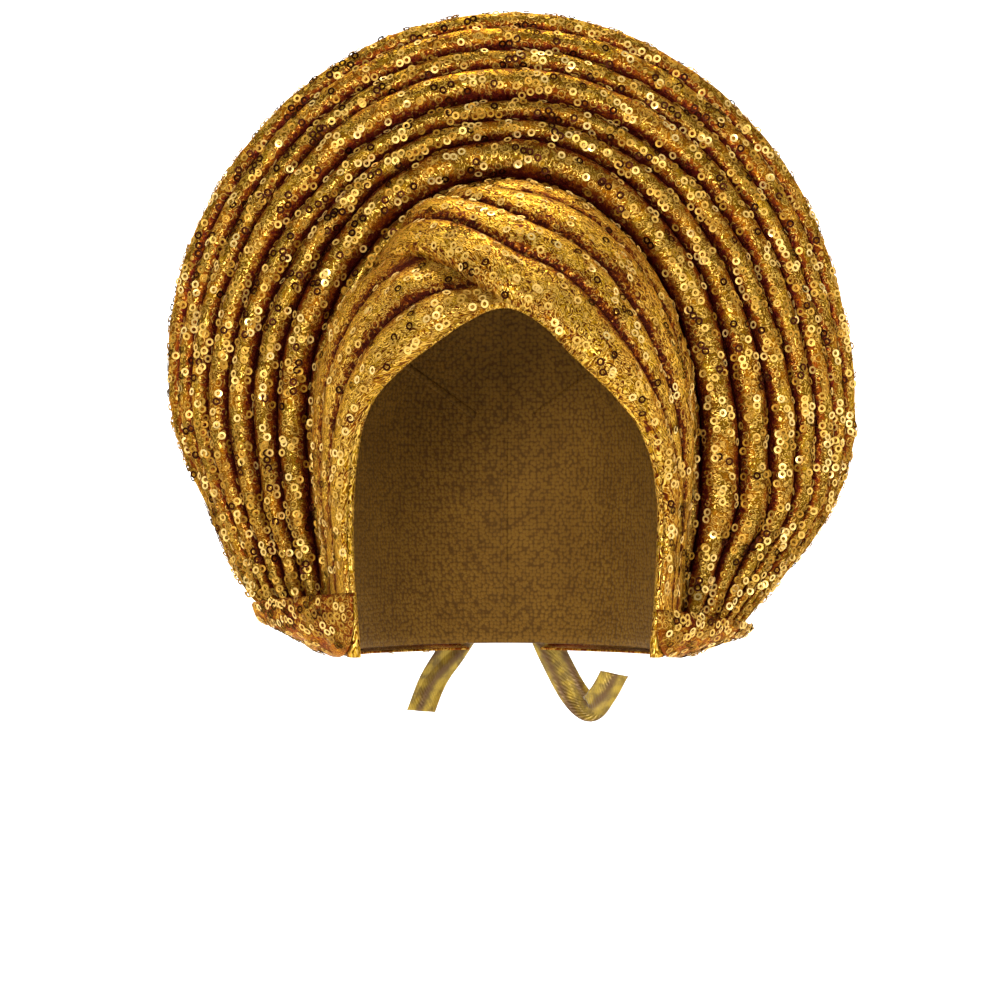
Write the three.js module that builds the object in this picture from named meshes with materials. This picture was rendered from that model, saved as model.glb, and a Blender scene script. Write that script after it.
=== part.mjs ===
// A tied gele head tie with a pleated fan, modelled in millimetres with +Z up.
// The face looks along -Y. The origin is the seat of the crown: the highest point of the hollow,
// where the top of the wearer's head bears.
//
// Directions on the head are two angles. The arch angle runs round the head as a headband does:
// 0 at the crown, 90 at the right temple, 150 at the right lower edge, and negative on the left.
// The depth angle runs from 0 at the face over 90 at the ears to 180 at the back.

import * as THREE from 'three';
import { mergeVertices } from 'three/addons/utils/BufferGeometryUtils.js';

// The hollow that the head fills.
const HEAD_WIDTH = 148;
const HEAD_LENGTH = 194;
const CROWN_HEIGHT = 100;
const SIDE_DROP = 96;
const NAPE_TAPER = 0.12;

// Cloth thicknesses, and the clearances between layers that lie on each other.
const CAP_WALL = 2;
const WRAP_WALL = 2.2;
const FAN_WALL = 2.4;
const DRAPE_WALL = 2.2;
const TAIL_WALL = 2;
const LAYER_GAP = 0.8;
const UNDER_GAP = 1.8;
const SEAT_GAP = 0.3;

// The pleated fan that stands round the head.
const FAN_REACH = 83;
const FAN_LEAN = 40;
const ROLL_LOFT = 0.45;

// The two wraps that cross over the forehead. Angles are arch angles.
const WRAP_END = 139;
const WRAP_LOFT = 0.26;
const WRAP_LOFT_MOST = 5.5;
const WRAP_REAR_GAP = 5.5;
const NARROWEST_PLEAT = 0.03;
const SETTLED_FOLD = 75;
const DIVE_POWER = 2.3;
const OVERLAP = 14;
const CROSSING_LIFT = 3.4;
const LIFT_FADE = 16;
const LEG_FLAT_FROM = 104;
const LEG_FLAT_OVER = 28;
const LEG_FLATNESS = 0.8;

// The cloth that closes the back and is gathered at the nape.
const NAPE_WIDTH = 60;
const NAPE_RISE = 20;
const NAPE_SETBACK = 8;
const NAPE_LEVEL = 0.9;
const DRAPE_RUN = 48;
const DRAPE_SPREAD = 45;
const DRAPE_FALL = 95;
const DRAPE_FULLNESS = 24;
const GATHERS = 8;
const GATHER_DEPTH = 5;
const GATHER_RUN = 0.83;

// The pockets that take in the ends of the rolls. Each lip passes in front of the rolls, from the head
// to a tip at the fan's outer edge.
const LIP_RUN = 0.25;
const TIP_RUN = 0.12;
const LIP_FORWARD = 13;
const UNDER_SWELL = 10;
const LEFT_LIP = { drop: 0, tipRise: 8, overhang: 7 };
const RIGHT_LIP = { drop: 7, tipRise: 3, overhang: 5 };

// The knot and its two tails.
const KNOT_WIDTH = 34;
const KNOT_DEPTH = 15;
const KNOT_HEIGHT = 24;
const KNOT_DROP = 5;
const KNOT_NESTLE = 1.2;
const TAIL_WIDTH = 13;
const TAIL_HANG = 50;
const LEAVING_ANGLE = 40;

// The edge of the face opening: how far back from the face it lies, at each arch angle.
const OPENING = [
  { arch: -150, depth: 57 },
  { arch: -120, depth: 60 },
  { arch: -104, depth: 58 },
  { arch: -92, depth: 54 },
  { arch: -82, depth: 48 },
  { arch: -66, depth: 37 },
  { arch: -48, depth: 30 },
  { arch: -25, depth: 27.5 },
  { arch: 0, depth: 28 },
  { arch: 25, depth: 26.5 },
  { arch: 48, depth: 26.5 },
  { arch: 66, depth: 31 },
  { arch: 80, depth: 39 },
  { arch: 90, depth: 48 },
  { arch: 100, depth: 56 },
  { arch: 115, depth: 60 },
  { arch: 150, depth: 57 },
];

// Cross-sections of the fan: reach and lean are shares of the fan's own sizes, and turn is the share
// of the reach that a section covers before it bends to the back.
const FAN_SECTIONS = [
  { arch: -140, reach: 0.32, lean: 0.4, turn: 0.95 },
  { arch: -134, reach: 0.42, lean: 0.55, turn: 0.95 },
  { arch: -125, reach: 0.51, lean: 0.75, turn: 0.95 },
  { arch: -110, reach: 0.62, lean: 0.95, turn: 0.95 },
  { arch: -90, reach: 0.78, lean: 0.95, turn: 0.88 },
  { arch: -70, reach: 0.9, lean: 0.92, turn: 0.75 },
  { arch: -45, reach: 0.96, lean: 0.95, turn: 0.66 },
  { arch: -20, reach: 0.99, lean: 1, turn: 0.62 },
  { arch: 0, reach: 1, lean: 1, turn: 0.62 },
  { arch: 20, reach: 1.01, lean: 1, turn: 0.62 },
  { arch: 45, reach: 0.99, lean: 0.95, turn: 0.66 },
  { arch: 70, reach: 0.94, lean: 0.92, turn: 0.72 },
  { arch: 90, reach: 0.9, lean: 0.92, turn: 0.82 },
  { arch: 108, reach: 0.8, lean: 0.95, turn: 0.95 },
  { arch: 120, reach: 0.67, lean: 0.85, turn: 0.95 },
  { arch: 134, reach: 0.46, lean: 0.55, turn: 0.95 },
  { arch: 143, reach: 0.33, lean: 0.4, turn: 0.95 },
];

// Widths of the fan's rolls from the head outwards, as parts of a section at the left, top and right.
const ROLLS = [
  { left: 15, top: 15, right: 12 },
  { left: 22, top: 33, right: 26 },
  { left: 20, top: 19, right: 25 },
  { left: 23, top: 18, right: 24 },
  { left: 23, top: 31, right: 21 },
  { left: 22, top: 21, right: 22 },
  { left: 20, top: 27, right: 21 },
  { left: 24, top: 22, right: 22 },
];

// Fold lines of each wrap from the face opening to the fan. temple and crown are shares of the way
// back from the opening. A fold leaves its share at one arch angle and meets the fan at another.
const RIGHT_FOLDS = [
  { temple: 0, crown: 0, leave: 8, meet: -50 },
  { temple: 0.27, crown: 0.26, leave: 15, meet: -40 },
  { temple: 0.46, crown: 0.46, leave: 18, meet: -24 },
  { temple: 0.78, crown: 0.74, leave: 10, meet: -16 },
  { temple: 1, crown: 1, leave: 0, meet: -50 },
];
const LEFT_FOLDS = [
  { temple: 0, crown: 0.03, leave: -60, meet: -120 },
  { temple: 0.3, crown: 0.12, leave: -60, meet: -120 },
  { temple: 0.6, crown: 0.36, leave: -60, meet: -120 },
  { temple: 1, crown: 1, leave: -60, meet: -120 },
];

// Sections of the cloth that passes under each end of the fan, from its lip to the nape. turn and drop
// place the edge at the head, and edge is the share of the back cloth's border that the other edge
// follows. swell is the share of the full swell by which it bellies out, at a tilt below level.
const UNDER_SECTIONS = [
  { run: 0, turn: 58, drop: 0.71, edge: 0, swell: 1, tilt: 0 },
  { run: 0.12, turn: 58, drop: 0.87, edge: 0.01, swell: 0.9, tilt: 20 },
  { run: 0.25, turn: 63, drop: 0.97, edge: 0.07, swell: 0.5, tilt: 60 },
  { run: 0.5, turn: 100, drop: 1, edge: 0.3, swell: 0.6, tilt: 80 },
  { run: 0.75, turn: 138, drop: 1.01, edge: 0.62, swell: 0.4, tilt: 90 },
  { run: 1, turn: 166, drop: 1.01, edge: 0.94, swell: 0, tilt: 90 },
];

// Routes of the two tails from the foot of the knot: across is a share of the nape's width from the
// middle, and back and down are shares of the tails' hang, from the middle of the knot.
const RIGHT_TAIL = [
  { across: 0.38, back: 0.06, down: 0.62 },
  { across: 0.54, back: 0.08, down: 0.98 },
  { across: 0.67, back: 0, down: 1.13 },
  { across: 0.77, back: -0.12, down: 0.99 },
  { across: 0.86, back: -0.18, down: 0.79 },
];
const LEFT_TAIL = [
  { across: -0.4, back: 0.06, down: 0.56 },
  { across: -0.56, back: 0.06, down: 0.86 },
  { across: -0.66, back: 0.02, down: 1.16 },
];

const HEAD_HALF = HEAD_WIDTH / 2;
const HEAD_DEPTH = HEAD_LENGTH / 2;
const LOWER_ARCH = OPENING.at(-1).arch;
const FAN_LEFT_END = FAN_SECTIONS[0].arch;
const FAN_RIGHT_END = FAN_SECTIONS.at(-1).arch;

const { clamp, degToRad, lerp } = THREE.MathUtils;
const ease = (share) => THREE.MathUtils.smoothstep(share, 0, 1);

// The value of one column of a table at a place between its rows, on a smooth curve.
function lookUp(table, place, at, column) {
  const last = table.length - 1;
  let row = 0;
  while (row < last - 1 && at > table[row + 1][place]) row++;
  const near = table[row];
  const far = table[row + 1];
  const before = table[Math.max(row - 1, 0)];
  const after = table[Math.min(row + 2, last)];
  const span = far[place] - near[place];
  const slopeNear = ((far[column] - before[column]) / (far[place] - before[place])) * span;
  const slopeFar = ((after[column] - near[column]) / (after[place] - near[place])) * span;
  const t = clamp((at - near[place]) / span, 0, 1);
  const t2 = t * t;
  const t3 = t2 * t;
  return (
    (2 * t3 - 3 * t2 + 1) * near[column] +
    (t3 - 2 * t2 + t) * slopeNear +
    (3 * t2 - 2 * t3) * far[column] +
    (t3 - t2) * slopeFar
  );
}

// A point of the head form grown outwards by `grow`.
function headPoint(arch, depth, grow) {
  const across = (HEAD_HALF + grow) * Math.sin(degToRad(depth));
  const back = -(HEAD_DEPTH + grow) * Math.cos(degToRad(depth));
  if (Math.abs(arch) <= 90) {
    const rise = (CROWN_HEIGHT + grow) * Math.sin(degToRad(depth)) * Math.cos(degToRad(arch));
    return new THREE.Vector3(across * Math.sin(degToRad(arch)), back, rise - CROWN_HEIGHT);
  }
  const down = (Math.abs(arch) - 90) / (LOWER_ARCH - 90);
  const narrowing = 1 - NAPE_TAPER * down * down * (1 - Math.cos(degToRad(depth))) * 0.5;
  return new THREE.Vector3(
    Math.sign(arch) * across * narrowing,
    back * narrowing,
    -CROWN_HEIGHT - down * SIDE_DROP,
  );
}

// The direction straight out of the head at an arch angle, in the plane of the fan.
function outwards(arch) {
  if (Math.abs(arch) > 90) return new THREE.Vector3(Math.sign(arch), 0, 0);
  const x = Math.sin(degToRad(arch)) / HEAD_HALF;
  const z = Math.cos(degToRad(arch)) / CROWN_HEIGHT;
  return new THREE.Vector3(x, 0, z).normalize();
}

// A closed solid from a grid of cloth points, each a pair of its inner and outer point.
function clothSolid(rows) {
  const positions = [];
  const addTriangle = (a, b, c) => positions.push(...a, ...b, ...c);
  const addFace = (a, b, c, d) => {
    if (a.distanceTo(c) > b.distanceTo(d)) [a, b, c, d] = [b, c, d, a];
    addTriangle(a, b, c);
    addTriangle(a, c, d);
  };
  const lastRow = rows.length - 1;
  const lastColumn = rows[0].length - 1;
  for (let i = 0; i < lastRow; i++) {
    for (let j = 0; j < lastColumn; j++) {
      const [a, b, c, d] = [rows[i][j], rows[i + 1][j], rows[i + 1][j + 1], rows[i][j + 1]];
      addFace(a.outer, b.outer, c.outer, d.outer);
      addFace(d.inner, c.inner, b.inner, a.inner);
    }
  }
  for (let i = 0; i < lastRow; i++) {
    const [a, b] = [rows[i][0], rows[i + 1][0]];
    const [c, d] = [rows[i][lastColumn], rows[i + 1][lastColumn]];
    addFace(a.outer, a.inner, b.inner, b.outer);
    addFace(d.outer, d.inner, c.inner, c.outer);
  }
  for (let j = 0; j < lastColumn; j++) {
    const [a, b] = [rows[0][j], rows[0][j + 1]];
    const [c, d] = [rows[lastRow][j], rows[lastRow][j + 1]];
    addFace(b.outer, b.inner, a.inner, a.outer);
    addFace(c.outer, c.inner, d.inner, d.outer);
  }
  return welded(positions);
}

// Merges shared corners and drops the triangles that collapse, or that meet back to back at a seam.
function welded(positions) {
  const loose = new THREE.BufferGeometry();
  loose.setAttribute('position', new THREE.Float32BufferAttribute(positions, 3));
  const merged = mergeVertices(loose, 1e-3);
  const index = merged.index.array;
  const faces = new Map();
  for (let i = 0; i < index.length; i += 3) {
    const corners = [index[i], index[i + 1], index[i + 2]];
    if (new Set(corners).size < 3) continue;
    const key = [...corners].sort((p, q) => p - q).join();
    if (faces.has(key)) faces.delete(key);
    else faces.set(key, corners);
  }
  merged.setIndex([...faces.values()].flat());
  merged.computeVertexNormals();
  return merged;
}

// A grid of cloth points: `point(u, v)` gives each pair, for shares u and v from 0 to 1.
function clothGrid(uSteps, vSteps, point) {
  const rows = [];
  for (let i = 0; i <= uSteps; i++) {
    const row = [];
    for (let j = 0; j <= vSteps; j++) row.push(point(i / uSteps, j / vSteps));
    rows.push(row);
  }
  return rows;
}

// The cloth pair at a point of a smooth surface, pushed out along the surface's normal.
function offSurface(surface, u, v, height, wall) {
  const step = 1e-3;
  const [u0, v0] = [clamp(u, step, 1 - step), clamp(v, step, 1 - step)];
  const alongU = surface(u0 + step, v0).sub(surface(u0 - step, v0));
  const alongV = surface(u0, v0 + step).sub(surface(u0, v0 - step));
  const normal = alongU.cross(alongV).normalize();
  const at = surface(u, v);
  return {
    inner: at.clone().addScaledVector(normal, height),
    outer: at.clone().addScaledVector(normal, height + wall),
  };
}

// The cap that carries everything: a hollow hood, open at the face and below.
function headCap() {
  const ARCH_STEPS = 28;
  const FRONT_STEPS = 4;
  const BACK_STEPS = 5;
  const EDGE_SETBACK = 2.5;
  const middle = FRONT_STEPS / (FRONT_STEPS + BACK_STEPS);
  return clothSolid(
    clothGrid(ARCH_STEPS, FRONT_STEPS + BACK_STEPS, (u, v) => {
      const arch = lerp(-LOWER_ARCH, LOWER_ARCH, u);
      const edge = lookUp(OPENING, 'arch', arch, 'depth') + EDGE_SETBACK;
      const depth = v < middle ? lerp(edge, 90, v / middle) : lerp(90, 180, (v - middle) / (1 - middle));
      return { inner: headPoint(arch, depth, 0), outer: headPoint(arch, depth, CAP_WALL) };
    }),
  );
}

// Where the fan's cloth runs at one arch angle, before its rolls are raised, and its forward normal.
function fanLine(arch, share) {
  const reach = FAN_REACH * lookUp(FAN_SECTIONS, 'arch', arch, 'reach');
  const lean = FAN_LEAN * lookUp(FAN_SECTIONS, 'arch', arch, 'lean');
  const turn = reach * lookUp(FAN_SECTIONS, 'arch', arch, 'turn');
  const EARLY_LEAN = 0.1;
  const out = outwards(arch);
  const back = new THREE.Vector3(0, 1, 0);
  const start = headPoint(arch, 90, CAP_WALL + LAYER_GAP);
  const line = new THREE.QuadraticBezierCurve(
    new THREE.Vector2(0, 0),
    new THREE.Vector2(turn, lean * EARLY_LEAN),
    new THREE.Vector2(reach, lean),
  );
  const at = line.getPoint(share);
  const along = line.getTangent(share);
  return {
    point: start.addScaledVector(out, at.x).addScaledVector(back, at.y),
    normal: out.clone().multiplyScalar(along.y).addScaledVector(back, -along.x),
    length: line.getLength(),
  };
}

// The edges of the fan's rolls at one arch angle, as shares of the section.
function rollEdges(arch) {
  const side = clamp(Math.abs(arch) / 90, 0, 1);
  const widths = ROLLS.map((roll) => lerp(roll.top, arch < 0 ? roll.left : roll.right, ease(side)));
  const whole = widths.reduce((sum, width) => sum + width, 0);
  const edges = [0];
  for (const width of widths) edges.push(edges.at(-1) + width / whole);
  return edges;
}

// The fan: one cloth folded into rolls that run from one side of the head over the crown to the other.
function pleatedFan() {
  const ARCH_STEPS = 35;
  const ROLL_STEPS = 4;
  const across = ROLLS.length * ROLL_STEPS;
  return clothSolid(
    clothGrid(ARCH_STEPS, across, (u, v) => {
      const arch = lerp(FAN_LEFT_END, FAN_RIGHT_END, u);
      const edges = rollEdges(arch);
      const step = Math.round(v * across);
      const roll = Math.min(Math.floor(step / ROLL_STEPS), ROLLS.length - 1);
      const within = step / ROLL_STEPS - roll;
      const share = lerp(edges[roll], edges[roll + 1], within);
      const line = fanLine(arch, share);
      const width = (edges[roll + 1] - edges[roll]) * line.length;
      const height = ROLL_LOFT * width * rollProfile(within);
      return {
        inner: line.point.clone().addScaledVector(line.normal, height),
        outer: line.point.clone().addScaledVector(line.normal, height + FAN_WALL),
      };
    }),
  );
}

// How far back from the opening a fold lies, as a share, at an angle measured up from its own temple.
function foldShare(fold, fromCrown) {
  const settled = lerp(fold.crown, fold.temple, ease(fromCrown / SETTLED_FOLD));
  const dive = clamp((fold.leave - fromCrown) / (fold.leave - fold.meet), 0, 1);
  return lerp(settled, 1, dive ** DIVE_POWER);
}

// The shares of all folds of a wrap, kept a little apart where they run together.
function foldShares(folds, fromCrown) {
  const last = folds.length - 1;
  return folds.map((fold, k) => Math.min(foldShare(fold, fromCrown), 1 - NARROWEST_PLEAT * (last - k)));
}

// The depth angle at a share of the way from the opening to the fan.
function wrapDepth(arch, share) {
  const rear = 90 - THREE.MathUtils.radToDeg(Math.asin(WRAP_REAR_GAP / HEAD_DEPTH));
  return lerp(lookUp(OPENING, 'arch', arch, 'depth'), rear, share);
}

// The arch angle at which the right wrap's edge crosses a share of the way back.
function crossingArch(share) {
  const { leave, meet } = RIGHT_FOLDS[0];
  return leave + (meet - leave) * share ** (1 / DIVE_POWER);
}

// The rounded profile of a roll or pleat: 0 at both of its folds and 1 halfway between them.
function rollProfile(within) {
  return Math.sqrt(Math.sin(Math.PI * clamp(within, 0, 1)));
}

// The height of a wrap's pleat, which flattens at the lower end of its leg.
function pleatHeight(width, within, fromCrown) {
  const loft = Math.min(width * WRAP_LOFT, WRAP_LOFT_MOST);
  const flat = LEG_FLATNESS * ease((fromCrown - LEG_FLAT_FROM) / LEG_FLAT_OVER);
  return loft * (1 - flat) * rollProfile(within);
}

// How far a wrap is raised at the crossing. The right wrap, on top, clears the end of the left one.
function crossingRise(side, fromCrown, share, height) {
  const past = side * fromCrown - crossingArch(share);
  if (side > 0) return height + CROSSING_LIFT * (1 - ease((past - OVERLAP) / LIFT_FADE));
  return height * ease(-past / OVERLAP);
}

// One wrap: side is 1 for the right wrap, which lies on top, and -1 for the left one.
function wrap(side, folds, archSteps, pleatSteps) {
  const across = (folds.length - 1) * pleatSteps;
  const TUCKED = 4;
  return clothSolid(
    clothGrid(archSteps, across, (u, v) => {
      const step = Math.round(v * across);
      const pleat = Math.min(Math.floor(step / pleatSteps), folds.length - 2);
      const within = step / pleatSteps - pleat;
      const farEnd = side > 0 ? folds[0].meet + TUCKED : -crossingArch(v) - OVERLAP;
      const fromCrown = side > 0 ? lerp(farEnd, WRAP_END, u) : lerp(WRAP_END, farEnd, u);
      const arch = side * fromCrown;
      const shares = foldShares(folds, fromCrown);
      const share = lerp(shares[pleat], shares[pleat + 1], within);
      const near = headPoint(arch, wrapDepth(arch, shares[pleat]), 0);
      const width = near.distanceTo(headPoint(arch, wrapDepth(arch, shares[pleat + 1]), 0));
      const height = crossingRise(side, fromCrown, share, pleatHeight(width, within, fromCrown));
      const grow = CAP_WALL + LAYER_GAP + height;
      const depth = wrapDepth(arch, share);
      return { inner: headPoint(arch, depth, grow), outer: headPoint(arch, depth, grow + WRAP_WALL) };
    }),
  );
}

// Where the back cloth meets the nape, at a share u of the way from its left end to its right.
function napePoint(u) {
  const round = Math.PI * (u - 0.5);
  const bottom = headPoint(lerp(90, LOWER_ARCH, NAPE_LEVEL), 180, CAP_WALL);
  return new THREE.Vector3(
    (NAPE_WIDTH / 2) * Math.sin(round),
    bottom.y + NAPE_SETBACK,
    bottom.z + NAPE_RISE * Math.cos(round),
  );
}

// The smooth surface of the back cloth: from the fan's rim at v = 0 to the nape at v = 1.
function drapeSurface(u, v) {
  const rim = fanLine(lerp(FAN_LEFT_END, FAN_RIGHT_END, u), 1).point;
  rim.y += LAYER_GAP;
  const round = Math.PI * (u - 0.5);
  const nape = napePoint(u);
  const behind = rim.clone().add(new THREE.Vector3(0, DRAPE_RUN, 0));
  const above = nape.clone();
  above.x += DRAPE_SPREAD * Math.sin(round);
  above.y += DRAPE_FULLNESS;
  above.z += DRAPE_FALL * Math.cos(round);
  return new THREE.CubicBezierCurve3(rim, behind, above, nape).getPoint(v);
}

// The back cloth, drawn into gathers that deepen towards the nape.
function backDrape() {
  const ARCH_STEPS = 48;
  const RUN_STEPS = 7;
  return clothSolid(
    clothGrid(ARCH_STEPS, RUN_STEPS, (u, v) => {
      const wave = 0.5 - 0.5 * Math.cos(2 * Math.PI * GATHERS * u);
      return offSurface(drapeSurface, u, v, GATHER_DEPTH * wave * ease(v / GATHER_RUN), DRAPE_WALL);
    }),
  );
}

// The surface of the cloth under one end of the fan, from its lip at u = 0 to the nape at u = 1.
function underSurface(side, u, v) {
  const row = (column) => lookUp(UNDER_SECTIONS, 'run', u, column);
  const inFront = 1 - ease(u / LIP_RUN);
  const grow = CAP_WALL + LAYER_GAP + inFront * (WRAP_WALL + 2 * LAYER_GAP);
  const atHead = headPoint(side * lerp(90, LOWER_ARCH, row('drop')), row('turn'), grow);
  const border = drapeSurface(side > 0 ? 1 : 0, row('edge'));
  const lip = side > 0 ? RIGHT_LIP : LEFT_LIP;
  border.x += side * (DRAPE_WALL + lip.overhang * inFront);
  border.y -= LIP_FORWARD * inFront;
  border.z -= UNDER_GAP;
  atHead.z -= lip.drop * inFront;
  border.z += lip.tipRise * (1 - ease(u / TIP_RUN));
  const chord = border.clone().sub(atHead);
  const level = new THREE.Vector3(-chord.y, chord.x, 0).normalize().multiplyScalar(-side);
  const tilt = degToRad(row('tilt'));
  const belly = atHead.clone().lerp(border, 0.5);
  belly.addScaledVector(level, UNDER_SWELL * row('swell') * Math.cos(tilt));
  belly.z -= UNDER_SWELL * row('swell') * Math.sin(tilt);
  return new THREE.QuadraticBezierCurve3(atHead, belly, border).getPoint(v);
}

// The cloth that takes in the ends of the rolls on one side and passes under to the nape.
function underWrap(side) {
  const RUN_STEPS = 12;
  const ACROSS_STEPS = 6;
  const surface = (u, v) => underSurface(side, u, side > 0 ? v : 1 - v);
  return clothSolid(
    clothGrid(RUN_STEPS, ACROSS_STEPS, (u, v) => offSurface(surface, u, v, 0, DRAPE_WALL)),
  );
}

// The middle of the knot, which hangs on the gathers at the nape.
function knotCentre() {
  const nape = napePoint(0.5);
  nape.y += DRAPE_WALL + GATHER_DEPTH - KNOT_NESTLE + KNOT_DEPTH / 2 + SEAT_GAP;
  nape.z -= KNOT_DROP;
  return nape;
}

// The knot: one rounded bundle, creased from top to bottom by the turns of the tie.
function tieKnot() {
  const ROUND_STEPS = 18;
  const HIGH_STEPS = 8;
  const CREASES = 6;
  const CREASE_DEPTH = 0.09;
  const knot = new THREE.SphereGeometry(0.5, ROUND_STEPS, HIGH_STEPS);
  const corner = new THREE.Vector3();
  const corners = knot.attributes.position;
  for (let i = 0; i < corners.count; i++) {
    corner.fromBufferAttribute(corners, i);
    const turn = Math.atan2(corner.z, corner.x);
    const crease = 1 - CREASE_DEPTH * (0.5 - 0.5 * Math.cos(CREASES * turn));
    const { x, y, z } = corner;
    corners.setXYZ(i, x * crease * KNOT_WIDTH, -z * crease * KNOT_DEPTH, y * KNOT_HEIGHT);
  }
  return welded(knot.toNonIndexed().attributes.position.array);
}

// A flat tail that leaves the foot of the knot on the side its route runs to.
function tieTail(route) {
  const LENGTH_STEPS = 12;
  const FIRST_RUN = 5;
  const centre = knotCentre();
  const leaving = degToRad(LEAVING_ANGLE) * Math.sign(route[0].across);
  const out = new THREE.Vector3(Math.sin(leaving), 0, -Math.cos(leaving));
  const foot = out.clone().multiplyScalar(0.5);
  foot.multiply(new THREE.Vector3(KNOT_WIDTH, KNOT_DEPTH, KNOT_HEIGHT)).add(centre);
  foot.addScaledVector(out, SEAT_GAP);
  const points = [foot, foot.clone().addScaledVector(out, FIRST_RUN)];
  for (const at of route) {
    const aside = new THREE.Vector3(NAPE_WIDTH * at.across, TAIL_HANG * at.back, -TAIL_HANG * at.down);
    points.push(aside.add(centre));
  }
  const curve = new THREE.CatmullRomCurve3(points, false, 'centripetal');
  const flat = new THREE.Vector3(0, 1, 0);
  return clothSolid(
    clothGrid(LENGTH_STEPS, 2, (u, v) => {
      const middle = curve.getPoint(u);
      const across = flat.clone().cross(curve.getTangent(u)).normalize();
      middle.addScaledVector(across, (v - 0.5) * TAIL_WIDTH);
      return {
        inner: middle.clone().addScaledVector(flat, -TAIL_WALL / 2),
        outer: middle.clone().addScaledVector(flat, TAIL_WALL / 2),
      };
    }),
  );
}

const SEQUIN_CLOTH = { color: 0xa9781c, roughness: 0.45, metalness: 0.6 };
const CAP_CLOTH = { color: 0x7d5414, roughness: 0.7, metalness: 0.3 };
const TIE_CLOTH = { color: 0x9a7d1e, roughness: 0.5, metalness: 0.4 };

function piece(name, geometry, finish) {
  const mesh = new THREE.Mesh(geometry, new THREE.MeshStandardMaterial(finish));
  mesh.name = name;
  return mesh;
}

const gele = new THREE.Group();
gele.add(piece('head_cap', headCap(), CAP_CLOTH));
gele.add(piece('pleated_fan', pleatedFan(), SEQUIN_CLOTH));
gele.add(piece('left_wrap', wrap(-1, LEFT_FOLDS, 25, 4), SEQUIN_CLOTH));
gele.add(piece('right_wrap', wrap(1, RIGHT_FOLDS, 28, 4), SEQUIN_CLOTH));
gele.add(piece('back_drape', backDrape(), SEQUIN_CLOTH));
gele.add(piece('left_under_wrap', underWrap(-1), SEQUIN_CLOTH));
gele.add(piece('right_under_wrap', underWrap(1), SEQUIN_CLOTH));

const knot = piece('tie_knot', tieKnot(), TIE_CLOTH);
knot.position.copy(knotCentre());
gele.add(knot);
gele.add(piece('tie_tail_right', tieTail(RIGHT_TAIL), TIE_CLOTH));
gele.add(piece('tie_tail_left', tieTail(LEFT_TAIL), TIE_CLOTH));

export default gele;
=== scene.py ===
"""A ready-tied gele of gold sequin cloth, held up as a head holds it.

The cloths are worked out in millimetres on the form of the head and turned into metres when they are
made. Directions on the head are two angles. The arch angle runs round the head as a headband does:
0 at the crown, 90 at the right temple, 150 at the right lower edge, and negative on the left.
The depth angle runs from 0 at the face over 90 at the ears to 180 at the back.
"""

import math
import random
from functools import lru_cache

import bmesh
import bpy
import numpy as np
from mathutils import Matrix, Vector, noise


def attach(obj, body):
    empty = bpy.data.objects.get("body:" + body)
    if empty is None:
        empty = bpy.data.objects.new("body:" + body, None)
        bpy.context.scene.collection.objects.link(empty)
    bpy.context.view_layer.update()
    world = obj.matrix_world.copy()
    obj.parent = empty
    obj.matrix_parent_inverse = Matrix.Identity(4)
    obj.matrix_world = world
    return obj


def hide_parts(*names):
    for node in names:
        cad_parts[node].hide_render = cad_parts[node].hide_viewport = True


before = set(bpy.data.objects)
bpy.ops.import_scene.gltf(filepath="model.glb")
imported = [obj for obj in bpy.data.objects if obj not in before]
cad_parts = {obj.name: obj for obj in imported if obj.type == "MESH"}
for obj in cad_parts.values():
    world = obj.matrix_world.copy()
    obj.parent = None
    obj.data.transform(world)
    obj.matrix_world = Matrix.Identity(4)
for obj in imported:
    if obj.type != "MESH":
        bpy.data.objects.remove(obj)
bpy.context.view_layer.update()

MM = 0.001

# The hollow that the head fills.
HEAD_WIDTH = 148
HEAD_LENGTH = 194
CROWN_HEIGHT = 100
SIDE_DROP = 96
NAPE_TAPER = 0.12

# How far the face of each cloth lies off the layer below it, and the clearances between layers.
CAP_WALL = 2
WRAP_WALL = 2.2
FAN_WALL = 2.4
DRAPE_WALL = 2.2
LAYER_GAP = 0.8
UNDER_GAP = 1.8
SEAT_GAP = 0.3

# Real thicknesses of the cloths.
FAN_CLOTH = 1.0
WRAP_CLOTH = 1.4
DRAPE_CLOTH = 1.1
CAP_CLOTH = 1.6
TIE_CLOTH = 0.9

# Dents of the cloths: rise, width and noise layer.
FAN_DENTS = [(0.55, 10, 2), (0.3, 4, 4)]
WRAP_DENTS = [(0.6, 12, 5), (0.3, 5, 6)]

# The pleated fan. Each roll is a loop of cloth that bulges past the folds that hold it.
FAN_REACH = 83
FAN_LEAN = 40
ROLL_LOFT = 0.45
ROLL_SWEEP = 112
ROLL_NECK = 0.965
FOLD_SHARE = 0.1
FOLD_DEPTH = 1.6
MEANDER = 0.09
PUFF_VARIATION = 0.13

# The wraps that cross over the forehead.
WRAP_END = 139
WRAP_LOFT = 0.26
WRAP_LOFT_MOST = 5.5
WRAP_REAR_GAP = 5.5
NARROWEST_PLEAT = 0.03
SETTLED_FOLD = 75
DIVE_POWER = 2.3
OVERLAP = 14
CROSSING_LIFT = 3.4
LIFT_FADE = 16
LEG_FLAT_FROM = 104
LEG_FLAT_OVER = 28
LEG_FLATNESS = 0.8
TUCKED = 4
SETTLING = 30
EDGE_CURL = 1.5
CURL_SHARE = 0.16

# The cap's edge, its binding, and the welts of its seams.
CAP_SETBACK = 2.5
BINDING_WIDTH = 6
BINDING_CLOTH = 0.6
BINDING_EASE = 0.25
BINDING_PUCKER = 0.15
BINDING_FACE = 0.3
BINDING_SEAM = 0.12
WELT_CLOTH = 0.5
WELT_WIDTH = 3.4
WELT_RISE = 0.7

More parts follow.
